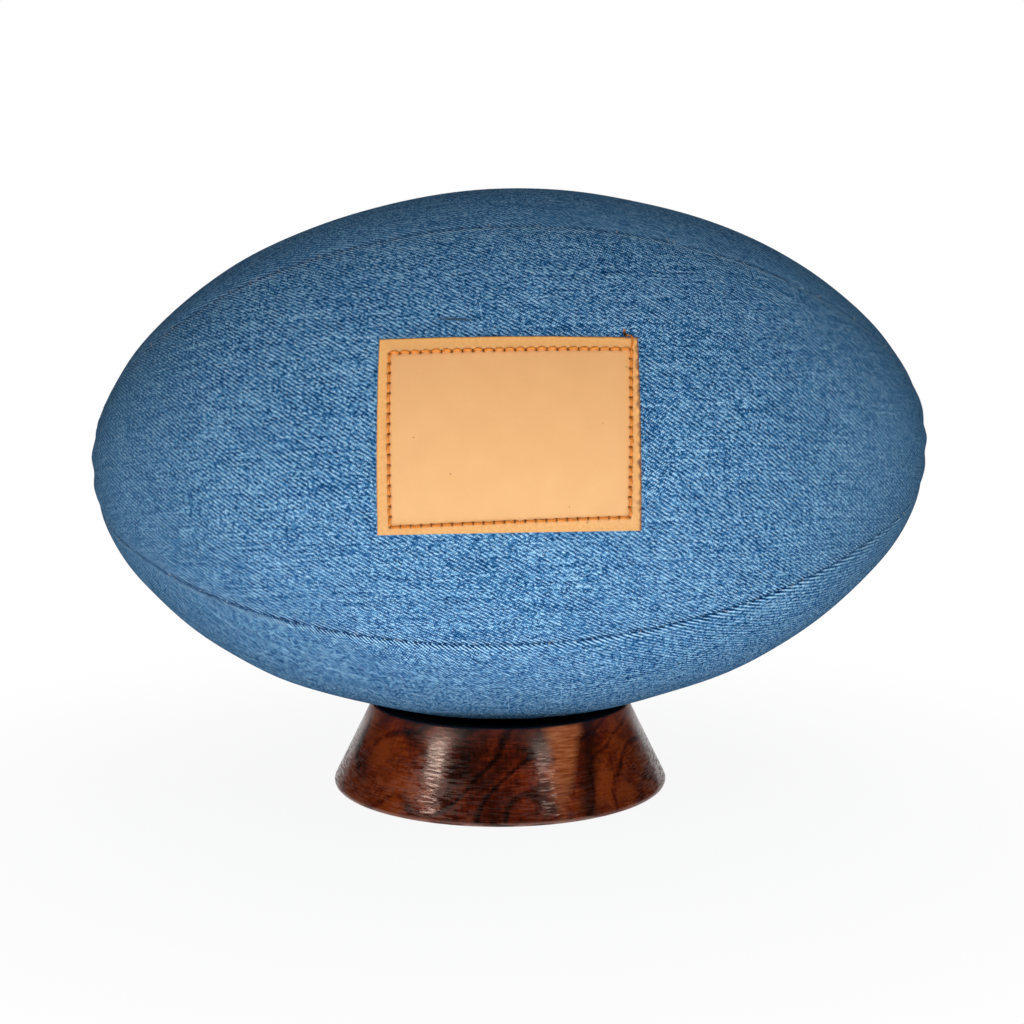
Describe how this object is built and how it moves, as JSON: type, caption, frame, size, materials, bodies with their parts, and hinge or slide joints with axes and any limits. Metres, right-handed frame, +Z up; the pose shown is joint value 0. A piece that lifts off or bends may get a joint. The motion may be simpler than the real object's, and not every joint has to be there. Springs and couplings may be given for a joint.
{
  "type": "rugby ball",
  "caption": "Oval rugby ball in sewn denim panels over an inflated bladder, with a blank leather patch, resting in the felt-lined dish of a turned hardwood stand.",
  "frame": {"origin": "centre of the stand's underside, on the surface that it stands on", "axes": "+X along the ball's length towards its raised point, +Y away from the leather patch, +Z up"},
  "size_m": [0.2909, 0.1867, 0.2087],
  "materials": {
    "denim": "faded blue twill",
    "canvas": "unbleached plain weave",
    "seam_thread": "dark blue polyester thread",
    "bladder_rubber": "matte moulded",
    "valve_rubber": "matte moulded",
    "leather": "natural vegetable-tanned, smooth",
    "waxed_thread": "waxed linen",
    "hardwood": "glossy varnish over figured dark red-brown timber",
    "felt": "black pressed felt"
  },
  "bodies": {
    "stand": {"stand_body": "hardwood", "seat_felt": "felt"},
    "ball": {"front_panel": "denim", "top_panel": "denim", "back_panel": "denim", "bottom_panel": "denim", "front_lining": "canvas", "top_lining": "canvas", "back_lining": "canvas", "bottom_lining": "canvas", "front_top_thread": "seam_thread", "front_bottom_thread": "seam_thread", "back_top_thread": "seam_thread", "back_bottom_thread": "seam_thread", "closing_thread": "seam_thread", "bladder": "bladder_rubber", "valve_body": "valve_rubber", "valve_plug": "valve_rubber", "valve_backing": "bladder_rubber", "leather_patch": "leather", "patch_thread": "waxed_thread"}
  },
  "joints": [
    {"name": "ball_lift", "type": "slide", "parent": "stand", "child": "ball", "axis": [0, 0, 1], "range_m": [0, 0.08]}
  ]
}
